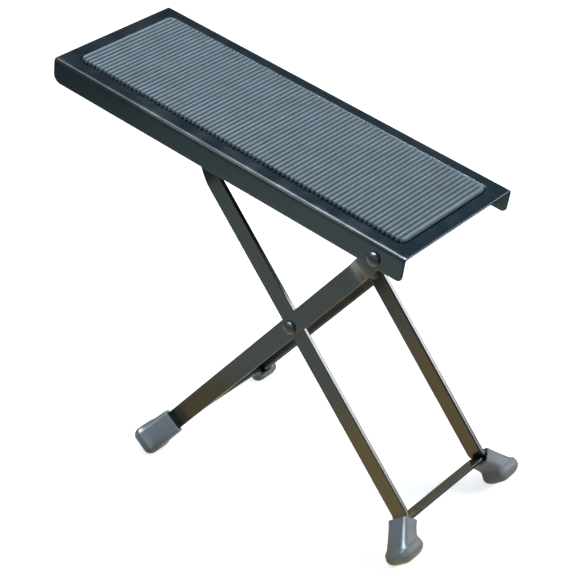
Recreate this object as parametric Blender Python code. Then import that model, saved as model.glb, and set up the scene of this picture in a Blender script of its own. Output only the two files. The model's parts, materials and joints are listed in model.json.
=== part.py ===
"""Folding guitar footrest: a pressed steel plate with a ribbed mat on two crossed strap frames.

Units are metres. The plate tilts along X with its pivot end low, and Y runs across it.
Each frame is drawn as it lies when folded, along its own X, and is then turned to its open angle.
"""

import bpy
import bmesh
from math import asin, atan2, cos, pi, radians, sin, sqrt, tan
from mathutils import Vector

# Plate
plate_length = 0.260
plate_width = 0.0998
plate_depth = 0.0155
sheet_thickness = 0.0015
plate_bend_radius = 0.0021
flange_corner_radius = 0.0056
flange_pivot_corner_radius = 0.0034

# Tray pressed into the plate for the mat
tray_side_margin = 0.0088
tray_end_margin = 0.0084
tray_depth = 0.0012
tray_corner_radius = 0.0056
tray_wall_run = 0.0011

# Mat
mat_gap = 0.0016
mat_base_thickness = 0.0010
mat_corner_radius = 0.0042
rib_height = 0.0013
rib_count = 79
rib_shares = ((0.10, 0.0), (0.27, 0.80), (0.40, 1.0), (0.60, 1.0), (0.73, 0.80), (0.90, 0.0))

# Strap steel of the two frames
strap_width = 0.0121
strap_thickness = 0.0030
bar_width = 0.0092
bar_thickness = 0.0020
strap_edge = 0.00035

# Where the pieces pivot, from the centre of the plate's top face
pivot_from_end = 0.0191
pivot_drop = 0.0099
outer_angle = radians(58)

# Outer frame, from the pivot down
pivot_to_crossing = 0.0968
outer_mouth_reach = 0.2410
joggle_start = 0.0100
joggle_end = 0.0290

# Inner frame, from the crossing
inner_mouth_reach = 0.1289
rod_reach = 0.1227
inner_half_span = 0.0379
rod_end_half_span = 0.0330
tuck_length = 0.0310

# Splayed ends of the legs and crossbars
splay_angle = radians(42)
leg_bend_radius = 0.0065
crossbar_bend_radius = 0.0050
crossbar_twist = radians(11.5)
leg_end_length = 0.0135
crossbar_end_length = 0.0150
crossbar_drop = 0.0010

# Boots
boot_mouth_width = 0.0158
boot_mouth_thickness = 0.0106
boot_flare = 0.0006
boot_corner_radius = 0.0021
boot_body_length = 0.0156
boot_body_shares = (0.45, 0.75)
boot_lip_across = 0.0005
boot_lip_through = 0.0014
boot_lip_height = 0.0012
boot_lip_shares = ((0.5, 0.8), (1.0, 1.0))
boot_sole_height = 0.0078
sole_shares = ((0.1, 1.02), (0.3, 1.04), (0.5, 1.0), (0.65, 0.93), (0.78, 0.82), (0.9, 0.66), (0.97, 0.5))

# Rivets and washers
rivet_head_radius = 0.0043
rivet_head_height = 0.0024
rivet_head_angles = (6, 25, 45, 65, 85)
rivet_shank_radius = 0.0023
rivet_tail_radius = 0.0034
rivet_tail_height = 0.0014
rivet_tail_shares = ((1.0, 0.0), (0.9, 0.7), (0.5, 1.0))
washer_radius = 0.0042
washer_thickness = 0.0008

# Ratchet rod and its notched rails
rod_radius = 0.0025
rod_end_projection = 0.0022
rail_half_span = 0.0255
rail_depth = 0.0041
rail_foot_width = 0.0080
rail_thickness = 0.0015
rail_bend_radius = 0.0012
notch_count = 5
notch_pitch = 0.0140
notch_depth = 0.0016
notch_wall = 0.0055
rail_end_radius = 0.0015

clearance = 0.0003
overrun = 0.0020
arc_steps = 6
round_steps = 28

# Derived sizes
half_length = plate_length / 2
half_width = plate_width / 2
pivot_x = half_length - pivot_from_end
lug_half_span = half_width - sheet_thickness - clearance - strap_thickness / 2
outer_half_span = inner_half_span + strap_thickness + clearance
strap_half_width = strap_width / 2
nest_offset = (strap_thickness + bar_thickness) / 2 + clearance
tray_floor = -tray_depth
tray_underside = tray_floor - sheet_thickness
rail_tip = tray_underside - clearance - rail_depth
rod_depth = rod_radius + clearance - rail_tip
mat_length = plate_length - 2 * (tray_end_margin + mat_gap)
mat_width = plate_width - 2 * (tray_side_margin + mat_gap)
rib_pitch = mat_length / rib_count
hole_radius = rivet_shank_radius + clearance
inner_angle = asin((pivot_to_crossing * sin(outer_angle) + pivot_drop - rod_depth) / rod_reach)
rod_x = pivot_x - pivot_to_crossing * cos(outer_angle) - rod_reach * cos(inner_angle)


def clear_scene():
    for item in list(bpy.data.objects):
        bpy.data.objects.remove(item, do_unlink=True)


def make_material(name, colour, roughness, metallic):
    material = bpy.data.materials.new(name)
    material.use_nodes = True
    shader = material.node_tree.nodes["Principled BSDF"]
    shader.inputs["Base Color"].default_value = (*colour, 1.0)
    shader.inputs["Roughness"].default_value = roughness
    shader.inputs["Metallic"].default_value = metallic
    return material


def body(name, location, angle):
    """An empty on a joint axis, turned about Y, that carries one moving body."""
    empty = bpy.data.objects.new(name, None)
    bpy.context.scene.collection.objects.link(empty)
    empty.location = location
    empty.rotation_euler = (0, angle, 0)
    return empty


def finish(name, mesh, material, parent, sharp=radians(32)):
    item = bpy.data.objects.new(name, mesh)
    bpy.context.scene.collection.objects.link(item)
    item.parent = parent
    if material:
        mesh.materials.clear()
        mesh.materials.append(material)
    for face in mesh.polygons:
        face.use_smooth = True
    mesh.set_sharp_from_angle(angle=sharp)
    return item


def skin(rings):
    """One closed body through rings of equal count, capped at both ends."""
    shell = bmesh.new()
    rows = [[shell.verts.new(point) for point in ring] for ring in rings]
    count = len(rows[0])
    for lower, upper in zip(rows, rows[1:]):
        for i in range(count):
            j = (i + 1) % count
            shell.faces.new((lower[i], lower[j], upper[j], upper[i]))
    shell.faces.new(rows[0][::-1])
    shell.faces.new(rows[-1])
    bmesh.ops.recalc_face_normals(shell, faces=shell.faces)
    mesh = bpy.data.meshes.new("skin")
    shell.to_mesh(mesh)
    shell.free()
    return mesh


def prism(outline, place, start, end):
    """An outline of (u, v) pairs carried straight from start to end by place(u, v, w)."""
    rings = [[place(u, v, w) for u, v in outline] for w in (start, end)]
    return skin(rings)


def turned(profile, steps=round_steps):
    """A body turned about Y from (radius, y) pairs that run from end to end."""
    rings = []
    for radius, y in profile:
        ring = []
        for i in range(steps):
            turn = 2 * pi * i / steps
            ring.append((radius * cos(turn), y, radius * sin(turn)))
        rings.append(ring)
    return skin(rings)


def arc(centre, radius, start, end, steps=arc_steps):
    points = []
    for i in range(steps + 1):
        turn = start + (end - start) * i / steps
        points.append((centre[0] + radius * cos(turn), centre[1] + radius * sin(turn)))
    return points


def rounded_rectangle(length, width, radius, steps=arc_steps):
    points = []
    for sx, sy, start in ((1, 1, 0), (-1, 1, pi / 2), (-1, -1, pi), (1, -1, 1.5 * pi)):
        centre = (sx * (length / 2 - radius), sy * (width / 2 - radius))
        points += arc(centre, radius, start, start + pi / 2, steps)
    return points


def combine(item, meshes, operation):
    """Join or cut whole bodies and keep the result as the item's own mesh."""
    cutters = []
    for mesh in meshes:
        cutter = bpy.data.objects.new("cutter", mesh)
        bpy.context.scene.collection.objects.link(cutter)
        cutter.parent = item.parent
        cutter.matrix_basis = item.matrix_basis
        change = item.modifiers.new("change", "BOOLEAN")
        change.operation = operation
        change.solver = "EXACT"
        change.object = cutter
        cutters.append(cutter)
    bpy.context.view_layer.update()
    graph = bpy.context.evaluated_depsgraph_get()
    result = bpy.data.meshes.new_from_object(item.evaluated_get(graph))
    item.modifiers.clear()
    item.data = result
    for cutter in cutters:
        bpy.data.objects.remove(cutter, do_unlink=True)


def settle_shading(item, sharp=radians(32)):
    for face in item.data.polygons:
        face.use_smooth = True
    item.data.set_sharp_from_angle(angle=sharp)


def cross_pin(x, z, radius, start, end, steps=round_steps):
    """A round cutter across the part, along Y, with its corners clear of the strap's own sections."""
    outline = []
    for i in range(steps):
        turn = 2 * pi * (i + 0.5) / steps
        outline.append((x + radius * cos(turn), z + radius * sin(turn)))
    return prism(outline, lambda u, v, w: (u, w, v), start, end)


def channel_outline():
    """Section of the plate across its width: a sheet with a flange bent down along each side."""
    outer = plate_bend_radius
    inner = plate_bend_radius - sheet_thickness
    side = half_width - sheet_thickness
    right = arc((half_width - outer, -outer), outer, 0, pi / 2)
    left = arc((outer - half_width, -outer), outer, pi / 2, pi)
    left_inside = arc((-side + inner, -sheet_thickness - inner), inner, pi, pi / 2)
    right_inside = arc((side - inner, -sheet_thickness - inner), inner, pi / 2, 0)
    points = [(half_width, -plate_depth)] + right + left + [(-half_width, -plate_depth)]
    points += [(-side, -plate_depth)] + left_inside + right_inside + [(side, -plate_depth)]
    return points


def plate_side():
    """Side view of the plate, with the lower corners of its flanges rounded off."""
    raised = flange_corner_radius
    low = flange_pivot_corner_radius
    points = [(half_length, overrun), (-half_length, overrun)]
    points += arc((raised - half_length, raised - plate_depth), raised, pi, 1.5 * pi)
    points += arc((half_length - low, low - plate_depth), low, 1.5 * pi, 2 * pi)
    return points


def tray_rings(levels):
    """Rounded rectangles at the given heights, drawn in by the given amounts."""
    rings = []
    for height, inset in levels:
        length = plate_length - 2 * (tray_end_margin + inset)
        width = plate_width - 2 * (tray_side_margin + inset)
        radius = tray_corner_radius - inset
        rings.append([(x, y, height) for x, y in rounded_rectangle(length, width, radius)])
    return rings


def make_plate(parent, material):
    mesh = prism(channel_outline(), lambda u, v, w: (w, u, v), -half_length, half_length)
    plate = finish("top_plate", mesh, material, parent)
    spread = sheet_thickness * tan(atan2(tray_wall_run, tray_depth) / 2)
    middle = -sheet_thickness / 2
    shallow = tray_wall_run * sheet_thickness / 2 / tray_depth
    dish = skin(tray_rings(((middle, shallow - spread), (tray_underside, tray_wall_run - spread))))
    pocket = skin(tray_rings(((tray_floor, tray_wall_run), (0, 0), (overrun, 0))))
    outside = plate_width
    silhouette = prism(plate_side(), lambda u, v, w: (u, w, v), -outside, outside)
    combine(plate, [dish], "UNION")
    combine(plate, [pocket], "DIFFERENCE")
    combine(plate, [silhouette], "INTERSECT")
    combine(plate, [cross_pin(pivot_x, -pivot_drop, hole_radius, -outside, outside)], "DIFFERENCE")
    settle_shading(plate)
    return plate


def make_mat(parent, material):
    """A rubber mat whose ribs run across the plate."""
    floor = tray_floor + clearance
    base = floor + mat_base_thickness
    profile = [(mat_length / 2, floor), (-mat_length / 2, floor)]
    for i in range(rib_count):
        start = i * rib_pitch - mat_length / 2
        profile += [(start + along * rib_pitch, base + up * rib_height) for along, up in rib_shares]
    mesh = prism(profile, lambda u, v, w: (u, w, v), -mat_width / 2, mat_width / 2)
    mat = finish("ribbed_mat", mesh, material, parent)
    outline = rounded_rectangle(mat_length, mat_width, mat_corner_radius)
    blank = prism(outline, lambda u, v, w: (u, v, w), floor - overrun, base + rib_height + overrun)
    combine(mat, [blank], "INTERSECT")
    settle_shading(mat)
    return mat


def rail_outline():
    """Lower edge of a rail in side view: round notches with steep walls, one for each plate height."""
    right = rod_x + notch_wall
    left = rod_x - (notch_count - 1) * notch_pitch - notch_wall
    seat = rod_radius + clearance
    top = tray_underside - clearance
    points = [(right, top), (left, top)]
    low = rail_tip + rail_end_radius
    points += arc((left + rail_end_radius, low), rail_end_radius, pi, 1.5 * pi)
    half = sqrt(seat * seat - (seat - notch_depth) * (seat - notch_depth))
    for i in reversed(range(notch_count)):
        x = rod_x - i * notch_pitch
        centre = rail_tip + notch_depth - seat
        start = atan2(seat - notch_depth, -half)
        end = atan2(seat - notch_depth, half)
        points += arc((x, centre), seat, start, end)
    points += arc((right - rail_end_radius, low), rail_end_radius, 1.5 * pi, 2 * pi)
    return points


def make_rail(name, side, parent, material):
    """An angle strip under the plate: its foot is welded to the tray and its web has the notches."""
    top = tray_underside - clearance
    inner = rail_bend_radius
    outer = inner + rail_thickness
    web = side * rail_half_span
    foot = web - side * (rail_foot_width - rail_thickness)
    face = web + side * rail_thickness
    section = [(foot, top)]
    for y, z in arc((0, 0), outer, pi / 2, 0):
        section.append((face - side * outer + side * y, top - outer + z))
    section += [(face, rail_tip - overrun), (web, rail_tip - overrun)]
    for y, z in arc((0, 0), inner, 0, pi / 2):
        section.append((face - side * outer + side * y, top - outer + z))
    section.append((foot, top - rail_thickness))
    edge = rail_outline()
    left = min(x for x, z in edge)
    right = max(x for x, z in edge)
    mesh = prism(section, lambda u, v, w: (w, u, v), left - overrun, right + overrun)
    rail = finish(name, mesh, material, parent)
    reach = 2 * rail_half_span
    blank = [(x, z + overrun if z == top else z) for x, z in edge]
    combine(rail, [prism(blank, lambda u, v, w: (u, w, v), -reach, reach)], "INTERSECT")
    settle_shading(rail)
    return rail


def strap_ring(centre, across, through, width, thickness):
    """A section of strap with its long edges broken, across its width and through its thickness."""
    edge = min(strap_edge, width / 4)
    half, deep = width / 2, thickness / 2
    corners = [(half, deep - edge), (half - edge, deep), (edge - half, deep), (-half, deep - edge)]
    corners += [(-u, -v) for u, v in corners]
    return [centre + across * u + through * v for u, v in corners]


def round_end(station, direction, count=7):
    """Stations that draw a strap's end in to a half circle of its own width."""
    (x, y), heading = station
    stations = []
    for i in range(count):
        turn = radians(80) * (1 - i / count)
        ahead = strap_half_width * sin(turn)
        width = strap_width * cos(turn)
        centre = (x + direction * cos(heading) * ahead, y + direction * sin(heading) * ahead)
        stations.append((centre, heading, width))
    return stations


def sweep(stations, sign, side, thickness):
    """A strap through ((along, out), heading, width, twist) stations in its frame's own plane."""
    rings = []
    for (along, out), heading, width, twist in stations:
        through = Vector((-sin(heading) * sign, cos(heading) * side, 0))
        across = Vector((0, 0, 1))
        turned_across = across * cos(twist) - through * sin(twist)
        turned_through = through * cos(twist) + across * sin(twist)
        centre = Vector((sign * along, side * out, 0))
        rings.append(strap_ring(centre, turned_across, turned_through, width, thickness))
    return skin(rings)


def bend(start, heading, turn, radius, steps=arc_steps):
    """Points and headings round a bend that leaves start at the given heading."""
    left = 1 if turn > 0 else -1
    centre = (start[0] - left * radius * sin(heading), start[1] + left * radius * cos(heading))
    path = []
    for i in range(steps + 1):
        now = heading + turn * i / steps
        path.append(((centre[0] + left * radius * sin(now), centre[1] - left * radius * cos(now)), now))
    return path


def ahead(station, distance):
    (x, y), heading = station
    return ((x + cos(heading) * distance, y + sin(heading) * distance), heading)


def easing(start, end, steps=8):
    """Points of a smooth step between two straight runs."""
    (x0, y0), (x1, y1) = start, end
    path = []
    for i in range(steps + 1):
        share = i / steps
        rise = share * share * (3 - 2 * share)
        slope = 6 * share * (1 - share) * (y1 - y0) / (x1 - x0)
        path.append(((x0 + (x1 - x0) * share, y0 + (y1 - y0) * rise), atan2(slope, 1)))
    return path


def splay(mouth, half_span):
    """The leg's lower bend, which ends at the boot's mouth."""
    run = leg_bend_radius * sin(splay_angle)
    return bend((mouth - run, half_span), 0, splay_angle, leg_bend_radius)


def boot_line(mouth, half_span):
    """Where the boot's axis starts and the way that it heads, between the two straps that it holds."""
    (x, y), heading = splay(mouth, half_span)[-1]
    shift = (nest_offset + (bar_thickness - strap_thickness) / 2) / 2
    return (x + sin(heading) * shift, y - cos(heading) * shift), heading


def outer_leg_path():
    stations = round_end(((0, lug_half_span), 0), -1)
    stations.append(((0, lug_half_span), 0, strap_width))
    path = easing((joggle_start, lug_half_span), (joggle_end, outer_half_span))
    path += splay(outer_mouth_reach, outer_half_span)
    path.append(ahead(path[-1], leg_end_length))
    stations += [(place, heading, strap_width) for place, heading in path]
    return [(place, heading, width, 0) for place, heading, width in stations]


def inner_leg_path():
    stations = round_end(((-rod_reach, rod_end_half_span), 0), -1)
    stations.append(((-rod_reach, rod_end_half_span), 0, strap_width))
    start = (strap_half_width - rod_reach, rod_end_half_span)
    path = easing(start, (tuck_length - rod_reach, inner_half_span))
    path += splay(inner_mouth_reach, inner_half_span)
    path.append(ahead(path[-1], leg_end_length))
    stations += [(place, heading, strap_width) for place, heading in path]
    return [(place, heading, width, 0) for place, heading, width in stations]


def make_leg(name, path, holes, sign, side, parent, material):
    leg = finish(name, sweep(path, sign, side, strap_thickness), material, parent)
    reach = plate_width
    cutters = [cross_pin(sign * along, 0, radius, -reach, reach) for along, radius in holes]
    combine(leg, cutters, "DIFFERENCE")
    settle_shading(leg)
    return leg


def crossbar_half_path(mouth, half_span):
    """From the crossbar's straight middle to the end that lies against the leg inside the boot."""
    (x, y), heading = splay(mouth, half_span)[-1]
    x += sin(heading) * nest_offset
    y -= cos(heading) * nest_offset
    turn = pi / 2 - splay_angle
    tangent = crossbar_bend_radius * tan(turn / 2)
    level = mouth + crossbar_drop
    corner = y - (x - level) * tan(heading)
    path = bend((level, corner - tangent), pi / 2, -turn, crossbar_bend_radius)
    path.append(ahead(path[-1], crossbar_end_length - tangent))
    return path


def make_crossbar(name, mouth, half_span, sign, parent, material):
    """A strap across the frame with both ends bent down to lie against the splayed legs."""
    stations = []
    half = crossbar_half_path(mouth, half_span)
    for (along, out), heading in reversed(half):
        share = (heading - splay_angle) / (pi / 2 - splay_angle)
        stations.append(((along, -out), pi - heading, bar_width, crossbar_twist * share * share))
    for (along, out), heading in half:
        share = (heading - splay_angle) / (pi / 2 - splay_angle)
        stations.append(((along, out), heading, bar_width, crossbar_twist * share * share))
    return finish(name, sweep(stations, sign, 1, bar_thickness), material, parent)


def boot_ring(axes, centre, grow, slant, lip=0):
    """A rounded rectangle about the boot's axis, laid in a plane square to the leg when slant is 1."""
    along, across, through, leg_way = axes
    width = boot_mouth_width + 2 * (grow + lip * boot_lip_across)
    thickness = boot_mouth_thickness + 2 * (grow + lip * boot_lip_through)
    radius = boot_corner_radius + max(grow, 0) + lip * boot_lip_across
    ring = []
    for u, v in rounded_rectangle(width, thickness, radius, 4):
        point = centre + across * u + through * v
        lean = (point - centre).dot(leg_way) / along.dot(leg_way)
        ring.append(point - along * lean * slant)
    return ring


def make_boot(name, mouth, half_span, sign, side, parent, material):
    """A rubber boot: a sleeve along the splayed end and a domed sole square to the straight leg."""
    (x, y), heading = boot_line(mouth, half_span)
    start = Vector((sign * x, side * y, 0))
    leg_way = Vector((sign, 0, 0))
    along = Vector((sign * cos(heading), side * sin(heading), 0))
    through = Vector((-sign * sin(heading), side * cos(heading), 0))
    across = Vector((0, 0, 1))
    axes = (along, across, through, leg_way)
    rings = [boot_ring(axes, start, -boot_corner_radius / 3, 0)]
    rings.append(boot_ring(axes, start + along * boot_corner_radius / 3, 0, 0))
    foot = start + along * boot_body_length
    for share in boot_body_shares:
        centre = start + along * boot_body_length * share
        rings.append(boot_ring(axes, centre, boot_flare * share, share * share))
    rings.append(boot_ring(axes, foot, boot_flare, 1))
    for share, out in boot_lip_shares:
        rings.append(boot_ring(axes, foot + leg_way * boot_lip_height * share, boot_flare, 1, out))
    base = rings[-1]
    middle = sum((Vector(point) for point in base), Vector()) / len(base)
    for drop, draw in sole_shares:
        down = leg_way * boot_sole_height * drop
        rings.append([middle + (Vector(point) - middle) * draw + down for point in base])
    boot = finish(name, skin(rings), material, parent)
    depth = leg_end_length + 2 * clearance
    pocket_width = strap_width + 2 * clearance
    pocket_thickness = strap_thickness + bar_thickness + 3 * clearance
    socket = []
    for w in (-overrun, depth):
        centre = start + along * w
        socket.append([centre + across * u + through * v for u, v in (
            (pocket_width / 2, pocket_thickness / 2),
            (-pocket_width / 2, pocket_thickness / 2),
            (-pocket_width / 2, -pocket_thickness / 2),
            (pocket_width / 2, -pocket_thickness / 2),
        )])
    combine(boot, [skin(socket)], "DIFFERENCE")
    settle_shading(boot)
    return boot


def make_rivet(name, x, z, outside, inside, side, parent, material):
    """A dome-headed rivet from the outer face inward, with its tail closed over the washer."""
    head = outside + clearance
    tail = inside - clearance
    profile = []
    for turn in rivet_head_angles:
        rise = rivet_head_height * cos(radians(turn))
        profile.append((rivet_head_radius * sin(radians(turn)), head + rise))
    profile += [(rivet_head_radius, head), (rivet_shank_radius, head), (rivet_shank_radius, tail)]
    for wide, deep in rivet_tail_shares:
        profile.append((rivet_tail_radius * wide, tail - rivet_tail_height * deep))
    rivet = finish(name, turned([(radius, side * y) for radius, y in profile]), material, parent)
    rivet.location = (x, 0, z)
    return rivet


def make_washer(name, x, z, outside, side, parent, material):
    inside = outside - washer_thickness
    rings = []
    for radius, y in ((washer_radius, inside), (washer_radius, outside)):
        rings.append((radius, side * y))
    washer = finish(name, turned(rings), material, parent)
    washer.location = (x, 0, z)
    combine(washer, [cross_pin(0, 0, hole_radius, -plate_width, plate_width)], "DIFFERENCE")
    settle_shading(washer)
    return washer


def make_rod(parent, material):
    half = rod_end_half_span + strap_thickness / 2 + rod_end_projection
    edge = strap_edge
    profile = [(rod_radius - edge, -half), (rod_radius, edge - half)]
    profile += [(rod_radius, half - edge), (rod_radius - edge, half)]
    rod = finish("ratchet_rod", turned(profile), material, parent)
    rod.location = (-rod_reach, 0, 0)
    return rod


def lowest(items, angle):
    """Height of the lowest point of some boots below their frame's joint at a turn about Y."""
    return min(v.co.z * cos(angle) - v.co.x * sin(angle) for item in items for v in item.data.vertices)


def plate_tilt(outer_boots, inner_boots):
    """The tilt at which all four soles touch the floor, found by halving."""
    low, high = 0, pi / 6
    for _ in range(40):
        tilt = (low + high) / 2
        crossing = -pivot_to_crossing * sin(outer_angle - tilt)
        outer = lowest(outer_boots, tilt - outer_angle)
        inner = crossing + lowest(inner_boots, tilt + inner_angle)
        if inner > outer:
            low = tilt
        else:
            high = tilt
    return tilt


def place_on_floor(bodies):
    """Stand the part on the floor with the middle of its box over the world's centre."""
    bpy.context.view_layer.update()
    points = [
        item.matrix_world @ vertex.co
        for item in bpy.context.scene.objects if item.type == "MESH"
        for vertex in item.data.vertices
    ]
    middle = (min(p.x for p in points) + max(p.x for p in points)) / 2
    shift = Vector((-middle, 0, -min(p.z for p in points)))
    for empty in bodies:
        empty.location += shift
    bpy.context.view_layer.update()


clear_scene()
plate_paint = make_material("plate_paint", (0.011, 0.017, 0.021), 0.34, 0.0)
frame_paint = make_material("frame_paint", (0.040, 0.046, 0.044), 0.40, 0.0)
mat_rubber = make_material("mat_rubber", (0.13, 0.17, 0.20), 0.62, 0.0)
boot_rubber = make_material("boot_rubber", (0.075, 0.085, 0.090), 0.42, 0.0)
rivet_steel = make_material("rivet_steel", (0.070, 0.080, 0.085), 0.30, 0.6)
washer_steel = make_material("washer_steel", (0.060, 0.065, 0.065), 0.40, 0.0)

platform = body("platform", (0, 0, 0), 0)
outer_frame = body("outer_frame", (0, 0, 0), 0)
inner_frame = body("inner_frame", (0, 0, 0), 0)

outer_boots = []
inner_boots = []
for side, suffix in ((-1, "near"), (1, "far")):
    outer_holes = ((0, hole_radius), (pivot_to_crossing, hole_radius))
    inner_holes = ((0, hole_radius), (-rod_reach, rod_radius + clearance))
    make_leg("outer_leg_" + suffix, outer_leg_path(), outer_holes, -1, side, outer_frame, frame_paint)
    make_leg("inner_leg_" + suffix, inner_leg_path(), inner_holes, 1, side, inner_frame, frame_paint)
    name = "outer_boot_" + suffix
    place = (outer_mouth_reach, outer_half_span, -1, side)
    outer_boots.append(make_boot(name, *place, outer_frame, boot_rubber))
    name = "inner_boot_" + suffix
    place = (inner_mouth_reach, inner_half_span, 1, side)
    inner_boots.append(make_boot(name, *place, inner_frame, boot_rubber))

tilt = plate_tilt(outer_boots, inner_boots)
outer_frame.rotation_euler = (0, tilt - outer_angle, 0)
inner_frame.rotation_euler = (0, tilt + inner_angle, 0)
platform.rotation_euler = (0, tilt, 0)
turn = outer_angle - tilt
inner_frame.location = (-pivot_to_crossing * cos(turn), 0, -pivot_to_crossing * sin(turn))

make_crossbar("outer_crossbar", outer_mouth_reach, outer_half_span, -1, outer_frame, frame_paint)
make_crossbar("inner_crossbar", inner_mouth_reach, inner_half_span, 1, inner_frame, frame_paint)
make_rod(inner_frame, rivet_steel)

plate_items = [make_plate(platform, plate_paint), make_mat(platform, mat_rubber)]
for side, suffix in ((-1, "near"), (1, "far")):
    plate_items.append(make_rail("notch_rail_" + suffix, side, platform, frame_paint))
for item in plate_items:
    item.location = (-pivot_x, 0, pivot_drop)

for side, suffix in ((-1, "near"), (1, "far")):
    lug_inside = lug_half_span - strap_thickness / 2 - clearance
    make_washer("pivot_washer_" + suffix, 0, 0, lug_inside, side, outer_frame, washer_steel)
    ends = (half_width, lug_inside - washer_thickness)
    make_rivet("pivot_rivet_" + suffix, 0, 0, *ends, side, platform, rivet_steel)
    leg_inside = inner_half_span - strap_thickness / 2 - clearance
    make_washer("cross_washer_" + suffix, 0, 0, leg_inside, side, inner_frame, washer_steel)
    ends = (outer_half_span + strap_thickness / 2, leg_inside - washer_thickness)
    make_rivet("cross_rivet_" + suffix, -pivot_to_crossing, 0, *ends, side, outer_frame, rivet_steel)

place_on_floor((platform, outer_frame, inner_frame))
print("tilt in degrees", tilt * 180 / pi)
print("pivot axis", tuple(round(v, 6) for v in platform.location))
print("crossing axis", tuple(round(v, 6) for v in inner_frame.location))
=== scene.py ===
"""Looks of the folding footrest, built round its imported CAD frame.

Pieces are drawn in the same local frames as the solids: the plate's top face, and each strap frame
laid flat along its own X. One matrix per body then puts them in place. Units are metres.
"""

import json
import random
from math import asin, atan2, cos, hypot, pi, radians, sin, sqrt, tan

import bmesh
import bpy
from mathutils import Matrix, Vector


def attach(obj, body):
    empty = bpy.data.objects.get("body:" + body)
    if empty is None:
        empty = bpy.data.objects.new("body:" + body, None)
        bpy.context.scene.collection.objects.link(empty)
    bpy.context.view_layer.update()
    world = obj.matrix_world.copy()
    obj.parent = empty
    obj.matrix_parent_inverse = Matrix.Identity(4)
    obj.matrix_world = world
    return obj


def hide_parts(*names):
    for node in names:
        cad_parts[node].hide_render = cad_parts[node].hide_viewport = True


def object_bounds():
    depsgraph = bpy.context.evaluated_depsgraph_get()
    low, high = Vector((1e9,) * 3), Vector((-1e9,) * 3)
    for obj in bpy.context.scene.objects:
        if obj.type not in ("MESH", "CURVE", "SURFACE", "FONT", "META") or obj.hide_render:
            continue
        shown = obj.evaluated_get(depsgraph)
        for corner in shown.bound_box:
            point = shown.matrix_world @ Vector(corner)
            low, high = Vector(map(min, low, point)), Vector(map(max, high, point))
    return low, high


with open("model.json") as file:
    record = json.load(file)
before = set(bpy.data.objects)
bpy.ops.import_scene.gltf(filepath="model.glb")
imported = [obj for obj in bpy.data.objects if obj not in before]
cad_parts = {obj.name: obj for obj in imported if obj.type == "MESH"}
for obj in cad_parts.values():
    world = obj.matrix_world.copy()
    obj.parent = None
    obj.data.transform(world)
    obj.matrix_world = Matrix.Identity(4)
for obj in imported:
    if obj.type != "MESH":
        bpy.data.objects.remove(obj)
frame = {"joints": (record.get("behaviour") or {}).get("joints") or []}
cad_low, cad_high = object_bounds()
MM = 0.001

# Sizes shared with the solids
PLATE_LENGTH, PLATE_WIDTH, PLATE_DEPTH = 260 * MM, 99.8 * MM, 15.5 * MM
SHEET, BEND, RAISED_CORNER, PIVOT_CORNER = 1.5 * MM, 2.1 * MM, 5.6 * MM, 3.4 * MM
SIDE_MARGIN, END_MARGIN = 8.8 * MM, 8.4 * MM
TRAY_DEPTH, TRAY_CORNER, TRAY_WALL = 1.2 * MM, 5.6 * MM, 1.1 * MM
MAT_GAP, MAT_BASE, MAT_CORNER, RIB_HEIGHT, RIBS = 1.6 * MM, 1.0 * MM, 4.2 * MM, 1.3 * MM, 79
STRAP_WIDTH, STRAP, BAR_WIDTH, BAR = 12.1 * MM, 3.0 * MM, 9.2 * MM, 2.0 * MM
PIVOT_X, PIVOT_DROP = 110.9 * MM, 9.9 * MM
OUTER_ANGLE, PIVOT_TO_CROSSING, OUTER_MOUTH = radians(58), 96.8 * MM, 241.0 * MM
JOGGLE_START, JOGGLE_END = 10 * MM, 29 * MM
INNER_MOUTH, ROD_REACH = 128.9 * MM, 122.7 * MM
INNER_SPAN, ROD_SPAN, TUCK = 37.9 * MM, 33.0 * MM, 31.0 * MM
SPLAY, LEG_BEND, BAR_BEND, BAR_TWIST = radians(42), 6.5 * MM, 5.0 * MM, radians(11.5)
LEG_END, BAR_END, BAR_DROP = 13.5 * MM, 15.0 * MM, 1.0 * MM
MOUTH_WIDTH, MOUTH_THICKNESS = 15.8 * MM, 10.6 * MM
BOOT_FLARE, BOOT_CORNER, BOOT_BODY = 0.6 * MM, 2.1 * MM, 15.6 * MM
LIP_ACROSS, LIP_THROUGH, SOLE_HEIGHT = 0.5 * MM, 1.4 * MM, 7.76 * MM
SOLE_SHARES = ((0.0, 1.0), (0.1, 1.02), (0.3, 1.04), (0.5, 1.0), (0.65, 0.93), (0.78, 0.82),
               (0.9, 0.66), (0.97, 0.5), (1.0, 0.28))
HEAD_RADIUS, HEAD_HEIGHT, SHANK = 4.3 * MM, 2.4 * MM, 2.3 * MM
TAIL_RADIUS, TAIL_HEIGHT = 3.4 * MM, 1.4 * MM
WASHER_RADIUS, WASHER = 4.2 * MM, 0.8 * MM
ROD_RADIUS, ROD_PROUD = 2.5 * MM, 2.2 * MM
RAIL_SPAN, RAIL_FOOT, RAIL_DEPTH = 25.5 * MM, 8.0 * MM, 4.1 * MM
RAIL, RAIL_BEND, RAIL_END = 1.5 * MM, 1.2 * MM, 1.5 * MM
NOTCHES, NOTCH_PITCH, NOTCH_DEPTH, NOTCH_WALL = 5, 14 * MM, 1.6 * MM, 5.5 * MM
GAP = 0.3 * MM

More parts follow.
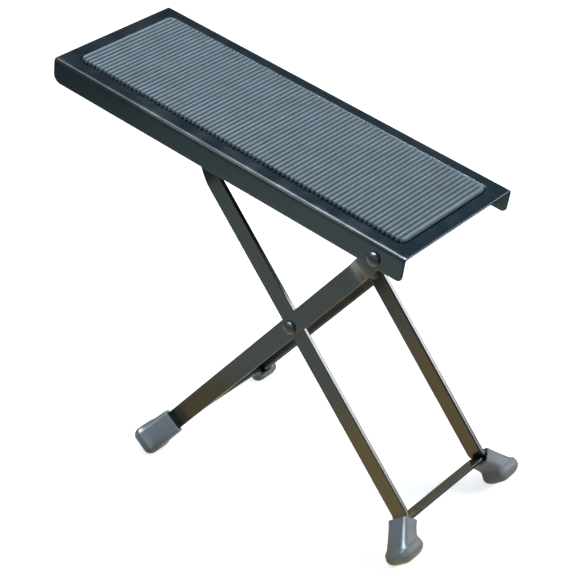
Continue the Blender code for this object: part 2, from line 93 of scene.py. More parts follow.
# Sizes of the detail that the scene adds. A share is of the length or height that it is used with.
# FLANGE_STEPS and the drops of LIP_STEPS are in millimetres, HEAD_TURNS in degrees.
PLATE_EDGE, STRAP_EDGE, STRAP_INNER_EDGE = 0.45 * MM, 0.35 * MM, 1.0 * MM
BAR_EDGE, RAIL_EDGE, WASHER_BEVEL = 0.4 * MM, 0.2 * MM, 0.15 * MM
FLANGE_STEPS = (0, 0.06, 0.18, 0.4, 0.8, 1.5, 2.5, 3.8, 5.6, 7.5, 9.5, 11.3)
TRAY_SOFT = 0.30 * MM
RIB_LEAN, RIB_TRIM, GROOVE_TRIM, NEAR_TRIM = 0.10 * MM, 0.30 * MM, 1.3 * MM, 1.0 * MM
RIB_SHARES = ((0.02, 0.0), (0.13, 0.06), (0.20, 0.55), (0.26, 0.86), (0.35, 0.985), (0.50, 1.0),
              (0.65, 0.985), (0.74, 0.86), (0.80, 0.55), (0.87, 0.06), (0.98, 0.0))
RIB_ENDS = ((0.0, 0.72), (0.05 * MM, 0.90), (0.14 * MM, 0.98), (0.30 * MM, 1.0))
MAT_ROWS = (-0.75, -0.45, -0.15, 0.15, 0.45, 0.75)
STRAP_SHARES = [1, 0.996, 0.985, 0.966, 0.942, 0.905, 0.865, 0.825, 0.60, 0.0]
LEG_END_TURN, LEG_END_STEPS = radians(87), 12
BOOT_RIM, BOOT_SOFTER = 0.55 * MM, 0.9 * MM
# (distance from the mouth, opening out, corner radius)
SOCKET_RINGS = ((6 * MM, 0, 0.4 * MM), (1.2 * MM, 0, 0.4 * MM),
                (0.35 * MM, 0.05 * MM, 0.5 * MM), (0.05 * MM, 0.30 * MM, 0.7 * MM))
SLEEVE_SHARES = (0.12, 0.24, 0.38, 0.50, 0.62, 0.72, 0.80, 0.86, 0.91, 0.95, 0.98, 1.0)
LIP_STEPS = ((0.15, 0.64), (0.32, 0.78), (0.52, 0.89), (0.78, 0.97), (1.2, 1.0))
HEAD_TURNS = (3, 12, 22, 32, 42, 52, 62, 72, 82, 89)
TAIL_SHARES = ((0.97, 0.45), (0.86, 0.80), (0.66, 0.97), (0.50, 1.0), (0.34, 0.90), (0.12, 0.84))
ROD_END = ((0.3 * MM, 0.35 * MM), (0.8 * MM, 0), (ROD_RADIUS - 0.4 * MM, 0),
           (ROD_RADIUS - 0.12 * MM, 0.12 * MM), (ROD_RADIUS, 0.4 * MM))

HALF_LENGTH, HALF_WIDTH = PLATE_LENGTH / 2, PLATE_WIDTH / 2
LUG_SPAN = HALF_WIDTH - SHEET - GAP - STRAP / 2
OUTER_SPAN = INNER_SPAN + STRAP + GAP
STRAP_HALF = STRAP_WIDTH / 2
NEST = (STRAP + BAR) / 2 + GAP
TRAY_FLOOR = -TRAY_DEPTH
RAIL_TIP = TRAY_FLOOR - SHEET - GAP - RAIL_DEPTH
ROD_DROP = ROD_RADIUS + GAP - RAIL_TIP - PIVOT_DROP
INNER_ANGLE = asin((PIVOT_TO_CROSSING * sin(OUTER_ANGLE) - ROD_DROP) / ROD_REACH)

# Frames of the three bodies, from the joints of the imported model
joints = {joint["name"]: Vector(joint["pos_m"]) for joint in frame["joints"]}
pivot, crossing = joints["platform_fold"], joints["frame_cross"]
to_crossing = crossing - pivot
TILT = OUTER_ANGLE - atan2(-to_crossing.z, -to_crossing.x)
pivot_frame = Matrix.Translation(pivot) @ Matrix.Rotation(TILT, 4, "Y")
plate_frame = pivot_frame @ Matrix.Translation((-PIVOT_X, 0, PIVOT_DROP))
outer_frame = Matrix.Translation(pivot) @ Matrix.Rotation(TILT - OUTER_ANGLE, 4, "Y")
inner_frame = Matrix.Translation(crossing) @ Matrix.Rotation(TILT + INNER_ANGLE, 4, "Y")
floor_frame = Matrix.Identity(4)

# Strap frames: (name, direction of X towards the boots, frame, mouth of the boots, half span).
# Sides: (direction of Y, end of the pieces' names).
FRAMES = (("outer", -1, outer_frame, OUTER_MOUTH, OUTER_SPAN),
          ("inner", 1, inner_frame, INNER_MOUTH, INNER_SPAN))
SIDES = ((-1, "near"), (1, "far"))


def new_object(name, data):
    item = bpy.data.objects.new(name, data)
    bpy.context.scene.collection.objects.link(item)
    return item


# Materials
def new_material(name):
    material = bpy.data.materials.new(name)
    material.use_nodes = True
    tree = material.node_tree
    return material, tree, tree.nodes["Principled BSDF"]


def add(tree, kind, **values):
    """A node with its settings and input values."""
    node = tree.nodes.new(kind)
    for key, value in values.items():
        if key in node.inputs:
            node.inputs[key].default_value = value
        else:
            setattr(node, key, value)
    return node


def wire(tree, source, target):
    tree.links.new(source, target)


def noise(tree, scale, detail=3, roughness=0.5, stretch=None):
    """Noise over the object's own coordinates, in features per metre."""
    place = tree.nodes.new("ShaderNodeTexCoord")
    field = add(tree, "ShaderNodeTexNoise", Scale=scale, Detail=detail, Roughness=roughness)
    if stretch:
        mapping = tree.nodes.new("ShaderNodeMapping")
        mapping.inputs["Scale"].default_value = stretch
        wire(tree, place.outputs["Object"], mapping.inputs["Vector"])
        wire(tree, mapping.outputs["Vector"], field.inputs["Vector"])
    else:
        wire(tree, place.outputs["Object"], field.inputs["Vector"])
    return field.outputs["Fac"]


def ramp(tree, source, stops):
    """A colour ramp through (position, colour) stops."""
    node = tree.nodes.new("ShaderNodeValToRGB")
    elements = node.color_ramp.elements
    while len(elements) < len(stops):
        elements.new(0.5)
    for element, (position, colour) in zip(elements, stops):
        element.position = position
        element.color = (*colour, 1)
    wire(tree, source, node.inputs["Fac"])
    return node.outputs["Color"]


def spread(tree, source, low, high):
    """A value from low to high over the usual reach of a noise."""
    node = add(tree, "ShaderNodeMapRange")
    node.inputs["From Min"].default_value = 0.3
    node.inputs["From Max"].default_value = 0.7
    node.inputs["To Min"].default_value = low
    node.inputs["To Max"].default_value = high
    wire(tree, source, node.inputs["Value"])
    return node.outputs["Result"]


def share_between(tree, source, low, high):
    """A value that eases from 0 to 1 as the source goes from low to high."""
    node = add(tree, "ShaderNodeMapRange", interpolation_type="SMOOTHSTEP")
    node.inputs["From Min"].default_value = low
    node.inputs["From Max"].default_value = high
    wire(tree, source, node.inputs["Value"])
    return node.outputs["Result"]


def measured(tree, operation, vector, source="Object"):
    """The DISTANCE of a shaded place from a vector, or its DOT_PRODUCT with it."""
    place = tree.nodes.new("ShaderNodeTexCoord")
    node = add(tree, "ShaderNodeVectorMath", operation=operation)
    wire(tree, place.outputs[source], node.inputs[0])
    node.inputs[1].default_value = vector
    return node.outputs["Value"]


def bump(tree, shader, fields):
    """Stacked bumps from (height, strength, distance)."""
    normal = None
    for height, strength, distance in fields:
        node = add(tree, "ShaderNodeBump", Strength=strength, Distance=distance)
        wire(tree, height, node.inputs["Height"])
        if normal:
            wire(tree, normal, node.inputs["Normal"])
        normal = node.outputs["Normal"]
    wire(tree, normal, shader.inputs["Normal"])


def mix(tree, factor, first, second, blend="MIX"):
    """Two colours mixed, each of them and the factor a value or a socket."""
    node = tree.nodes.new("ShaderNodeMix")
    node.data_type = "RGBA"
    node.blend_type = blend
    if isinstance(factor, (int, float)):
        node.inputs["Factor"].default_value = factor
    else:
        wire(tree, factor, node.inputs["Factor"])
    for socket, value in (("A", first), ("B", second)):
        target = [s for s in node.inputs if s.name == socket and s.type == "RGBA"][0]
        if isinstance(value, tuple):
            target.default_value = (*value, 1)
        else:
            wire(tree, value, target)
    return [s for s in node.outputs if s.type == "RGBA"][0]


def paint(name, dark, light, roughness, specular, orange_peel):
    """Baked enamel: a slight change of depth in the colour, fine orange peel and dull patches."""
    material, tree, shader = new_material(name)
    tone = ramp(tree, noise(tree, 28, 5, 0.55), [(0.30, dark), (0.72, light)])
    wire(tree, tone, shader.inputs["Base Color"])
    rough = noise(tree, 70, 5, 0.6)
    wire(tree, spread(tree, rough, roughness - 0.04, roughness + 0.05), shader.inputs["Roughness"])
    shader.inputs["Specular IOR Level"].default_value = specular
    bump(tree, shader, [
        (noise(tree, 700, 2), orange_peel, 0.05 * MM),
        (noise(tree, 45, 2), 0.03, 0.30 * MM),
    ])
    return material


def rubber(name, bottom, dark, light, roughness, specular, base, low, high):
    """Moulded rubber: fine grain, a matt bloom, dust in patches and a bottom colour, which is
    painted
    shade: in the mat's grooves, and on the boots painted shade with a painted warm reflection of
    the floor. That one ends between low and high, two heights over the base's XY plane."""
    material, tree, shader = new_material(name)
    way = base.to_3x3() @ Vector((0, 0, 1))
    level = base.translation.dot(way)
    share = share_between(tree, measured(tree, "DOT_PRODUCT", way), level + low, level + high)
    tone = ramp(tree, noise(tree, 60, 5, 0.6), [(0.28, dark), (0.74, light)])
    # Painted shade: below the high height the bottom colour stands in for shade, not for the
    # rubber's own colour
    wire(tree, mix(tree, share, bottom, tone), shader.inputs["Base Color"])
    rough = noise(tree, 140, 4)
    wire(tree, spread(tree, rough, roughness - 0.05, roughness + 0.06), shader.inputs["Roughness"])
    shader.inputs["Specular IOR Level"].default_value = specular
    bump(tree, shader, [
        (noise(tree, 2600, 2), 0.20, 0.04 * MM),
        (noise(tree, 220, 3), 0.10, 0.10 * MM),
    ])
    return material


def steel(name, dark, light, roughness, metallic):
    """Plated steel with faint turning marks."""
    material, tree, shader = new_material(name)
    tone = ramp(tree, noise(tree, 260, 4), [(0.30, dark), (0.72, light)])
    wire(tree, tone, shader.inputs["Base Color"])
    shader.inputs["Metallic"].default_value = metallic
    rough = noise(tree, 420, 3)
    wire(tree, spread(tree, rough, roughness - 0.06, roughness + 0.08), shader.inputs["Roughness"])
    bump(tree, shader, [(noise(tree, 1500, 2, 0.5, (1, 6, 1)), 0.12, 0.03 * MM)])
    return material


plate_paint = paint("plate_paint", (0.005, 0.009, 0.011), (0.009, 0.014, 0.017), 0.12, 0.50, 0.025)
frame_paint = paint("frame_paint", (0.010, 0.011, 0.009), (0.016, 0.018, 0.015), 0.20, 0.50, 0.06)
# Painted shade: the mat's bottom colour darkens its grooves and the low flanks of its ribs, up to
# 0.85 mm over the plate's top
mat_rubber = rubber(
    "mat_rubber", (0.064, 0.084, 0.099), (0.115, 0.149, 0.172), (0.162, 0.207, 0.236),
    0.60, 0.05, plate_frame, 0.10 * MM, 0.85 * MM,
)
# Painted shade and a painted warm reflection of the floor: the boots' dark brown bottom colour
# fades out by 15 mm over the floor
boot_rubber = rubber(
    "boot_rubber", (0.090, 0.082, 0.056), (0.146, 0.165, 0.172), (0.188, 0.209, 0.214),
    0.44, 0.20, floor_frame, 0, 15 * MM,
)
rivet_steel = steel("rivet_steel", (0.026, 0.032, 0.034), (0.044, 0.052, 0.054), 0.26, 0.15)
washer_steel = steel("washer_steel", (0.030, 0.032, 0.032), (0.050, 0.052, 0.052), 0.36, 0.0)
rod_steel = steel("rod_steel", (0.20, 0.21, 0.22), (0.32, 0.33, 0.34), 0.30, 1.0)


# Mesh helpers
def from_mesh(shell, name):
    bmesh.ops.recalc_face_normals(shell, faces=shell.faces)
    mesh = bpy.data.meshes.new(name)
    shell.to_mesh(mesh)
    shell.free()
    return mesh


def dress(name, mesh, matrix, body, node, material, sharp=34):
    """Carry a mesh from its local frame into the shared one, as the piece for a CAD node."""
    mesh.transform(matrix)
    item = new_object(name, mesh)
    mesh.materials.clear()
    mesh.materials.append(material)
    for face in mesh.polygons:
        face.use_smooth = True
    mesh.set_sharp_from_angle(angle=radians(sharp))
    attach(item, body)
    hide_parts(node)


def loft(rings):
    """A closed body through rings of equal count."""
    shell = bmesh.new()
    rows = [[shell.verts.new(point) for point in ring] for ring in rings]
    count = len(rows[0])
    for lower, upper in zip(rows, rows[1:]):
        for i in range(count):
            j = (i + 1) % count
            shell.faces.new((lower[i], lower[j], upper[j], upper[i]))
    shell.faces.new(rows[0][::-1])
    shell.faces.new(rows[-1])
    return from_mesh(shell, "loft")


def turned(profile, steps=48):
    """A body turned about Y from (radius, y) pairs."""
    turns = [2 * pi * i / steps for i in range(steps)]
    return loft([[(r * cos(turn), y, r * sin(turn)) for turn in turns] for r, y in profile])


def edge_inset(distance, edge):
    """How far a face falls back where it rolls over at a cut edge."""
    if distance >= edge:
        return 0.0
    rest = edge - max(distance, 0)
    return edge - sqrt(max(edge * edge - rest * rest, 0))


def sheet(name, us, vs, surface, thickness, edge, under_edge=None):
    """A closed sheet with rolled cut edges. surface(u, v) gives a point of its upper face, the way
    up and the distance to the nearest cut edge. The lower face may roll over further."""
    under_edge = under_edge or edge
    shell = bmesh.new()
    top, bottom = [], []
    for u in us:
        upper, lower = [], []
        for v in vs:
            point, normal, distance = surface(u, v)
            upper.append(shell.verts.new(point - normal * edge_inset(distance, edge)))
            depth = thickness - edge_inset(distance, under_edge)
            lower.append(shell.verts.new(point - normal * depth))
        top.append(upper)
        bottom.append(lower)
    for i in range(len(us) - 1):
        here, there, under, beyond = top[i], top[i + 1], bottom[i], bottom[i + 1]
        for j in range(len(vs) - 1):
            shell.faces.new((here[j], there[j], there[j + 1], here[j + 1]))
            shell.faces.new((under[j], under[j + 1], beyond[j + 1], beyond[j]))
    last, end = len(us) - 1, len(vs) - 1
    rim = [(i, 0) for i in range(last)] + [(last, j) for j in range(end)]
    rim += [(i, end) for i in range(last, 0, -1)] + [(0, j) for j in range(end, 0, -1)]
    for (i, j), (k, m) in zip(rim, rim[1:] + rim[:1]):
        shell.faces.new((top[i][j], bottom[i][j], bottom[k][m], top[k][m]))
    return from_mesh(shell, name)


def graded(*spans):
    """Values through (start, end, count) spans, each of which starts where the last one ends."""
    values = [spans[0][0]]
    for start, end, count in spans:
        values += [start + (end - start) * (i + 1) / count for i in range(count)]
    return values


def mirrored(values):
    """Values from the edge to the middle, then on to the other edge."""
    return values + [-value for value in reversed(values) if abs(value) > 1e-9]


def inside_distance(x, y, half_x, half_y, radius):
    """Distance inward from a rounded rectangle's outline."""
    along, across = abs(x) - half_x + radius, abs(y) - half_y + radius
    return radius - hypot(max(along, 0), max(across, 0)) - min(max(along, across), 0)


def smooth(share):
    """An eased share, held to 0 before the start and 1 after the end."""
    share = max(0.0, min(1.0, share))
    return share * share * (3 - 2 * share)


def cut(item_mesh, cutters):
    """Cut finished meshes out of a mesh and return the result."""
    item = new_object("blank", item_mesh)
    tools = []
    for cutter in cutters:
        tool = new_object("tool", cutter)
        change = item.modifiers.new("cut", "BOOLEAN")
        change.operation = "DIFFERENCE"
        change.solver = "EXACT"
        change.object = tool
        tools.append(tool)
    bpy.context.view_layer.update()
    graph = bpy.context.evaluated_depsgraph_get()
    result = bpy.data.meshes.new_from_object(item.evaluated_get(graph))
    for tool in tools + [item]:
        bpy.data.objects.remove(tool, do_unlink=True)
    return result


def drill(x, z, radius, low, high, steps=40):
    """A round cutter along Y, with its corners off the grid of the piece that it cuts."""
    rings = []
    for y in (low, high):
        ring = []
        for i in range(steps):
            turn = 2 * pi * (i + 0.37) / steps
            ring.append((x + radius * cos(turn), y, z + radius * sin(turn)))
        rings.append(ring)
    return loft(rings)


# Top plate
def tray_spans(outer, inner, count, middle_count):
    """Spans from outer inward over the tray's wall and its round corner, then to the middle."""
    lip, foot, corner = inner + 0.6 * MM, inner - TRAY_WALL - 0.5 * MM, inner - TRAY_CORNER - MM
    return (outer, lip, count), (lip, foot, 11), (foot, corner, 12), (corner, 0, middle_count)


def plate_section():
    """Stations across the plate: (y, z, part), from one flange's lower edge to the other's."""
    stations = [(-HALF_WIDTH, step * MM - PLATE_DEPTH, "flange") for step in FLANGE_STEPS]
    for i in range(11):
        turn = pi + i / 10 * (-pi / 2)
        stations.append((-HALF_WIDTH + BEND + BEND * cos(turn), -BEND + BEND * sin(turn), "bend"))
    values = graded(*tray_spans(HALF_WIDTH - BEND, HALF_WIDTH - SIDE_MARGIN, 3, 3))[1:]
    stations += [(-value, 0.0, "top") for value in values]
    stations += [(-y, z, part) for y, z, part in reversed(stations) if abs(y) > 1e-9]
    return stations


def plate_point(x_share, station):
    """A point of the plate's upper face, and its distance to the nearest cut edge."""
    y, z, part = station
    radius = PIVOT_CORNER if x_share > 0 else RAISED_CORNER
    end = HALF_LENGTH
    fall = (radius - PLATE_DEPTH) - z
    if part == "flange" and fall > 0:
        end -= radius - sqrt(max(radius * radius - fall * fall, 0))
    x = x_share * end / HALF_LENGTH
    distance = HALF_LENGTH - abs(x)
    if part == "flange":
        along = abs(x) - (HALF_LENGTH - radius)
        if along > 0 and fall > 0:
            distance = radius - hypot(along, fall)
        else:
            distance = min(distance, z + PLATE_DEPTH)
    if part == "top":
        tray_x, tray_y = HALF_LENGTH - END_MARGIN, HALF_WIDTH - SIDE_MARGIN
        depth = inside_distance(x, y, tray_x, tray_y, TRAY_CORNER)
        z -= TRAY_DEPTH * smooth((depth + TRAY_SOFT) / (TRAY_WALL + 2 * TRAY_SOFT))
    return Vector((x, y, z)), distance


def make_plate():
    stations = plate_section()
    rolled = HALF_LENGTH - 0.3 * MM
    spans = tray_spans(rolled, HALF_LENGTH - END_MARGIN, 8, 12)
    xs = mirrored(graded((HALF_LENGTH, rolled, 4), *spans))
    step = 0.01 * MM

    def surface(x, index):
        point, distance = plate_point(x, stations[index])
        y, z, part = stations[index]
        if part == "flange":
            normal = Vector((0, 1 if y > 0 else -1, 0))
        elif part == "bend":
            centre = Vector((0, (HALF_WIDTH - BEND) * (1 if y > 0 else -1), -BEND))
            normal = (Vector((0, y, z)) - centre).normalized()
        else:
            along = plate_point(x + step, stations[index])[0]
            across = plate_point(x, (y + step, z, part))[0]
            normal = (along - point).cross(across - point).normalized()
        return point, normal, distance

    mesh = sheet("plate", xs, range(len(stations)), surface, SHEET, PLATE_EDGE)
    mesh = cut(mesh, [drill(PIVOT_X, -PIVOT_DROP, SHANK + GAP, -PLATE_WIDTH, PLATE_WIDTH)])
    dress("plate_shell", mesh, plate_frame, "platform", "top_plate", plate_paint, 50)


# Ribbed mat
def rib_columns(length):
    """Places along the mat: (x, share of the rib's height, rib). The end ribs' outer grooves are
    half as wide."""
    pitch = length / RIBS
    columns = []
    for i in range(RIBS):
        for along, up in RIB_SHARES:
            if i == 0 and along < 0.3:
                along *= 0.5
            if i == RIBS - 1 and along > 0.7:
                along = 1 - 0.5 * (1 - along)
            columns.append(((i + along) * pitch - length / 2, up, i))
    columns[0] = (-length / 2, 0.0, 0)
    columns[-1] = (length / 2, 0.0, RIBS - 1)
    return columns


def make_mat():
    """Ribs across the plate, each with rolled shoulders, their ends trimmed a little unevenly."""
    source = random.Random(7)
    length = PLATE_LENGTH - 2 * (END_MARGIN + MAT_GAP)
    width = PLATE_WIDTH - 2 * (SIDE_MARGIN + MAT_GAP)
    floor = TRAY_FLOOR + GAP
    base = floor + MAT_BASE
    columns = rib_columns(length)
    lean = [source.uniform(-RIB_LEAN, RIB_LEAN) for _ in range(RIBS)]
    trims = [(source.uniform(0, RIB_TRIM), source.uniform(0, RIB_TRIM)) for _ in range(RIBS)]
    # Rows across the width: (share of the half width, distance drawn in, share of the rib's height)
    rows = [(-1, inward, height) for inward, height in RIB_ENDS]
    rows += [(share, 0.0, 1.0) for share in MAT_ROWS]
    rows += [(1, inward, height) for inward, height in reversed(RIB_ENDS)]
    shell = bmesh.new()
    upper, lower = [], []
    for share, inward, height in rows:
        line, under = [], []
        for x, up, rib in columns:
            reach = width / 2
            corner = abs(x) - (length / 2 - MAT_CORNER)
            if corner > 0:
                reach -= MAT_CORNER - sqrt(max(MAT_CORNER ** 2 - corner ** 2, 0))
            side = 1 if share > 0 else 0
            if abs(share) == 1:
                y = share * (reach - inward - trims[rib][side] * up - GROOVE_TRIM * (1 - up))
                # The near side stands further from the tray's edge, as in the photograph
                y += 0 if side else NEAR_TRIM
            else:
                y = share * reach
            wave = lean[rib] * sin(3 * y / reach + rib) * up
            z = base + RIB_HEIGHT * up * height
            line.append(shell.verts.new((x + wave / 2, y, z)))
            under.append(shell.verts.new((x, y, floor)))
        upper.append(line)
        lower.append(under)
    for i in range(len(rows) - 1):
        for j in range(len(columns) - 1):
            shell.faces.new((upper[i][j], upper[i + 1][j], upper[i + 1][j + 1], upper[i][j + 1]))
            shell.faces.new((lower[i][j], lower[i][j + 1], lower[i + 1][j + 1], lower[i + 1][j]))
    for line, under in ((upper[0], lower[0]), (upper[-1], lower[-1])):
        for j in range(len(columns) - 1):
            shell.faces.new((line[j], line[j + 1], under[j + 1], under[j]))
    for j in (0, len(columns) - 1):
        for i in range(len(rows) - 1):
            shell.faces.new((upper[i][j], upper[i + 1][j], lower[i + 1][j], lower[i][j]))
    mesh = from_mesh(shell, "mat")
    dress("mat", mesh, plate_frame, "platform", "ribbed_mat", mat_rubber, 45)


# Strap pieces
def bend(start, heading, turn, radius, steps=14):
    """Stations (place, heading) round a bend, to the left where the turn is positive."""
    lever = radius if turn > 0 else -radius
    centre_x, centre_y = start[0] - lever * sin(heading), start[1] + lever * cos(heading)
    path = []
    for i in range(steps + 1):
        now = heading + turn * i / steps
        path.append(((centre_x + lever * sin(now), centre_y - lever * cos(now)), now))
    return path


def ahead(station, distance):
    """The station straight ahead of another one."""
    (x, y), heading = station
    return (x + cos(heading) * distance, y + sin(heading) * distance), heading


def easing(start, end, steps=18):
    """Stations through an S bend from one line to another beside it."""
    (x0, y0), (x1, y1) = start, end
    path = []
    for i in range(steps + 1):
        share = i / steps
        slope = 6 * share * (1 - share) * (y1 - y0) / (x1 - x0)
        path.append(((x0 + (x1 - x0) * share, y0 + (y1 - y0) * smooth(share)), atan2(slope, 1)))
    return path


def splay(mouth, half_span):
    """The bend that turns a leg outward, up to the mouth of its boot."""
    return bend((mouth - LEG_BEND * sin(SPLAY), half_span), 0, SPLAY, LEG_BEND)


def straight(start, end, count):
    """Stations between two places of one heading, without the last."""
    (x0, y0), (x1, y1) = start, end
    return [((x0 + (x1 - x0) * i / count, y0 + (y1 - y0) * i / count), 0) for i in range(count)]


def leg_stations(start, joggle_start, joggle_end, mouth, count):
    """Stations (place, heading, half width, distance past the end's centre, twist) of a leg: a half
    round end, a joggle between two lines, a straight run and the splay into the boot."""
    x, y = start
    stations = []
    for i in range(LEG_END_STEPS):
        turn = LEG_END_TURN * (1 - i / LEG_END_STEPS)
        past = STRAP_HALF * sin(turn)
        stations.append(((x - past, y), 0, STRAP_HALF * cos(turn), past, 0))
    bent = splay(mouth, joggle_end[1])
    path = straight(start, joggle_start, 3) + easing(joggle_start, joggle_end)[:-1]
    path += straight(joggle_end, bent[0][0], count) + bent
    path.append(ahead(path[-1], LEG_END))
    return stations + [(place, heading, STRAP_HALF, 0, 0) for place, heading in path]


def strap(name, stations, sign, side, thickness, edge, inner_edge):
    """A strap of sheared steel along stations. Its inner face may have the broader roll that
    shearing leaves."""
    shares = mirrored(STRAP_SHARES)

    def surface(index, share):
        (along, out), heading, half, past, twist = stations[index]
        through = Vector((-sin(heading) * sign, cos(heading) * side, 0))
        across = Vector((0, 0, 1))
        turned_across = across * cos(twist) - through * sin(twist)
        turned_through = through * cos(twist) + across * sin(twist)
        v = share * half
        distance = STRAP_HALF - hypot(past, v) if past else half - abs(v)
        point = Vector((sign * along, side * out, 0)) + turned_across * v
        return point + turned_through * thickness / 2, turned_through, distance

    return sheet(name, range(len(stations)), shares, surface, thickness, edge, inner_edge)


def bar_stations(mouth, half_span):
    """Stations of a crossbar, which nests inside both splays of its frame and twists between."""
    (x, y), heading = splay(mouth, half_span)[-1]
    x += sin(heading) * NEST
    y -= cos(heading) * NEST
    turn = pi / 2 - SPLAY
    tangent = BAR_BEND * tan(turn / 2)
    level = mouth + BAR_DROP
    corner = y - (x - level) * tan(heading)
    half = bend((level, corner - tangent), pi / 2, -turn, BAR_BEND)
    half.append(ahead(half[-1], BAR_END - tangent))
    path = [((along, -out), pi - heading) for (along, out), heading in reversed(half)]
    width = 2 * (corner - tangent)
    path += [((level, width * (i / 12 - 0.5)), pi / 2) for i in range(1, 12)]
    path += half
    stations = []
    for place, heading in path:
        share = (min(heading, pi - heading) - SPLAY) / (pi / 2 - SPLAY)
        stations.append((place, heading, BAR_WIDTH / 2, 0, BAR_TWIST * share * share))
    return stations


def make_straps():
    reach = PLATE_WIDTH
    legs = {
        "outer": leg_stations((0, LUG_SPAN), (JOGGLE_START, LUG_SPAN), (JOGGLE_END, OUTER_SPAN),
                              OUTER_MOUTH, 24),
        "inner": leg_stations((-ROD_REACH, ROD_SPAN), (STRAP_HALF - ROD_REACH, ROD_SPAN),
                              (TUCK - ROD_REACH, INNER_SPAN), INNER_MOUTH, 26),
    }
    holes = {
        "outer": ((0, SHANK), (-PIVOT_TO_CROSSING, SHANK)),
        "inner": ((0, SHANK), (-ROD_REACH, ROD_RADIUS)),
    }
    for side, suffix in SIDES:
        for kind, sign, matrix, mouth, span in FRAMES:
            mesh = strap(kind + "_leg", legs[kind], sign, side, STRAP, STRAP_EDGE, STRAP_INNER_EDGE)
            drills = [drill(x, 0, radius + GAP, -reach, reach) for x, radius in holes[kind]]
            dress(kind + "_strap_" + suffix, cut(mesh, drills), matrix, kind + "_frame",
                  kind + "_leg_" + suffix, frame_paint)
    for kind, sign, matrix, mouth, span in FRAMES:
        mesh = strap(kind + "_bar", bar_stations(mouth, span), sign, 1, BAR, BAR_EDGE, BAR_EDGE)
        dress(kind + "_bar", mesh, matrix, kind + "_frame", kind + "_crossbar",
              frame_paint)


# Boots
def rounded_rectangle(length, width, radius, steps=8):
    points = []
    for sx, sy, start in ((1, 1, 0), (-1, 1, pi / 2), (-1, -1, pi), (1, -1, 1.5 * pi)):
        for i in range(steps + 1):
            turn = start + pi / 2 * i / steps
            points.append((sx * (length / 2 - radius) + radius * cos(turn),
                           sy * (width / 2 - radius) + radius * sin(turn)))
    return points


def boot_rings(mouth, half_span, sign, side):
    """Rings of a boot from the bottom of its socket, up over the rim and down the outside to the
    sole. The slant turns them from the splayed leg end to the way that the whole leg runs."""
    (x, y), heading = splay(mouth, half_span)[-1]
    shift = (NEST + (BAR - STRAP) / 2) / 2
    start = Vector((sign * (x + sin(heading) * shift), side * (y - cos(heading) * shift), 0))
    leg_way = Vector((sign, 0, 0))
    along = Vector((sign * cos(heading), side * sin(heading), 0))
    through = Vector((-sign * sin(heading), side * cos(heading), 0))
    across = Vector((0, 0, 1))

    def ring(distance, half_across, half_through, radius, slant):
        centre = start + along * distance
        points = []
        for u, v in rounded_rectangle(2 * half_across, 2 * half_through, radius):
            point = centre + across * u + through * v
            lean = (point - centre).dot(leg_way) / along.dot(leg_way)
            points.append(point - along * lean * slant)
        return points

    wide, deep = MOUTH_WIDTH / 2, MOUTH_THICKNESS / 2
    socket_wide, socket_deep = STRAP_HALF + GAP, (STRAP + BAR + 3 * GAP) / 2
    rings = []
    # Socket: its floor stands twice the gap off the leg's end
    for distance, out, radius in ((LEG_END + 2 * GAP, 0, 0.4 * MM), *SOCKET_RINGS):
        rings.append(ring(distance, socket_wide + out, socket_deep + out, radius, 0))
    # Rolled rim, then the sleeve
    for i in range(4):
        turn = pi / 2 * i / 3
        down, back = BOOT_RIM * (1 - cos(turn)), BOOT_RIM * (1 - sin(turn))
        rings.append(ring(down, wide - back, deep - back, BOOT_CORNER - back, 0))
    soft = BOOT_CORNER + BOOT_SOFTER
    for share in SLEEVE_SHARES:
        grow = BOOT_FLARE * share + 0.5 * BOOT_FLARE * share ** 6
        out = 0.5 * (max(share - 0.80, 0) / 0.20) ** 2
        radius = BOOT_CORNER + (soft - BOOT_CORNER) * smooth(share / 0.3) + grow
        slant = smooth((share - 0.10) / 0.85)
        half_wide, half_deep = wide + grow + LIP_ACROSS * out, deep + grow + LIP_THROUGH * out
        rings.append(ring(BOOT_BODY * share, half_wide, half_deep, radius, slant))
    # The flare rolls over into a domed sole
    for drop, out in LIP_STEPS:
        grow_wide = 1.5 * BOOT_FLARE + (LIP_ACROSS - 0.5 * BOOT_FLARE) * out
        grow_deep = 1.5 * BOOT_FLARE + (LIP_THROUGH - 0.5 * BOOT_FLARE) * out
        points = ring(BOOT_BODY, wide + grow_wide, deep + grow_deep, soft + grow_wide, 1)
        rings.append([point + leg_way * drop * MM for point in points])
    base = [Vector(point) for point in rings[-1]]
    middle = sum(base, Vector()) / len(base)
    for drop, draw in rounded_profile(SOLE_SHARES):
        lowered = leg_way * SOLE_HEIGHT * drop
        rings.append([middle + (point - middle) * draw + lowered for point in base])
    return rings


def rounded_profile(points, steps=4):
    """A smooth curve through (drop, draw) pairs, without the first."""
    curve = []
    count = len(points)
    for i in range(count - 1):
        p0, p1, p2 = points[max(i - 1, 0)], points[i], points[i + 1]
        p3 = points[min(i + 2, count - 1)]
        for j in range(1, steps + 1):
            t = j / steps
            curve.append(tuple(
                0.5 * (2 * b + (c - a) * t + (2 * a - 5 * b + 4 * c - d) * t * t
                       + (3 * b - a - 3 * c + d) * t ** 3)
                for a, b, c, d in zip(p0, p1, p2, p3)
            ))
    return curve


def make_boots():
    for side, suffix in SIDES:
        for kind, sign, matrix, mouth, span in FRAMES:
            mesh = loft(boot_rings(mouth, span, sign, side))
            dress(kind + "_foot_" + suffix, mesh, matrix, kind + "_frame", kind + "_boot_" + suffix,
                  boot_rubber, 60)


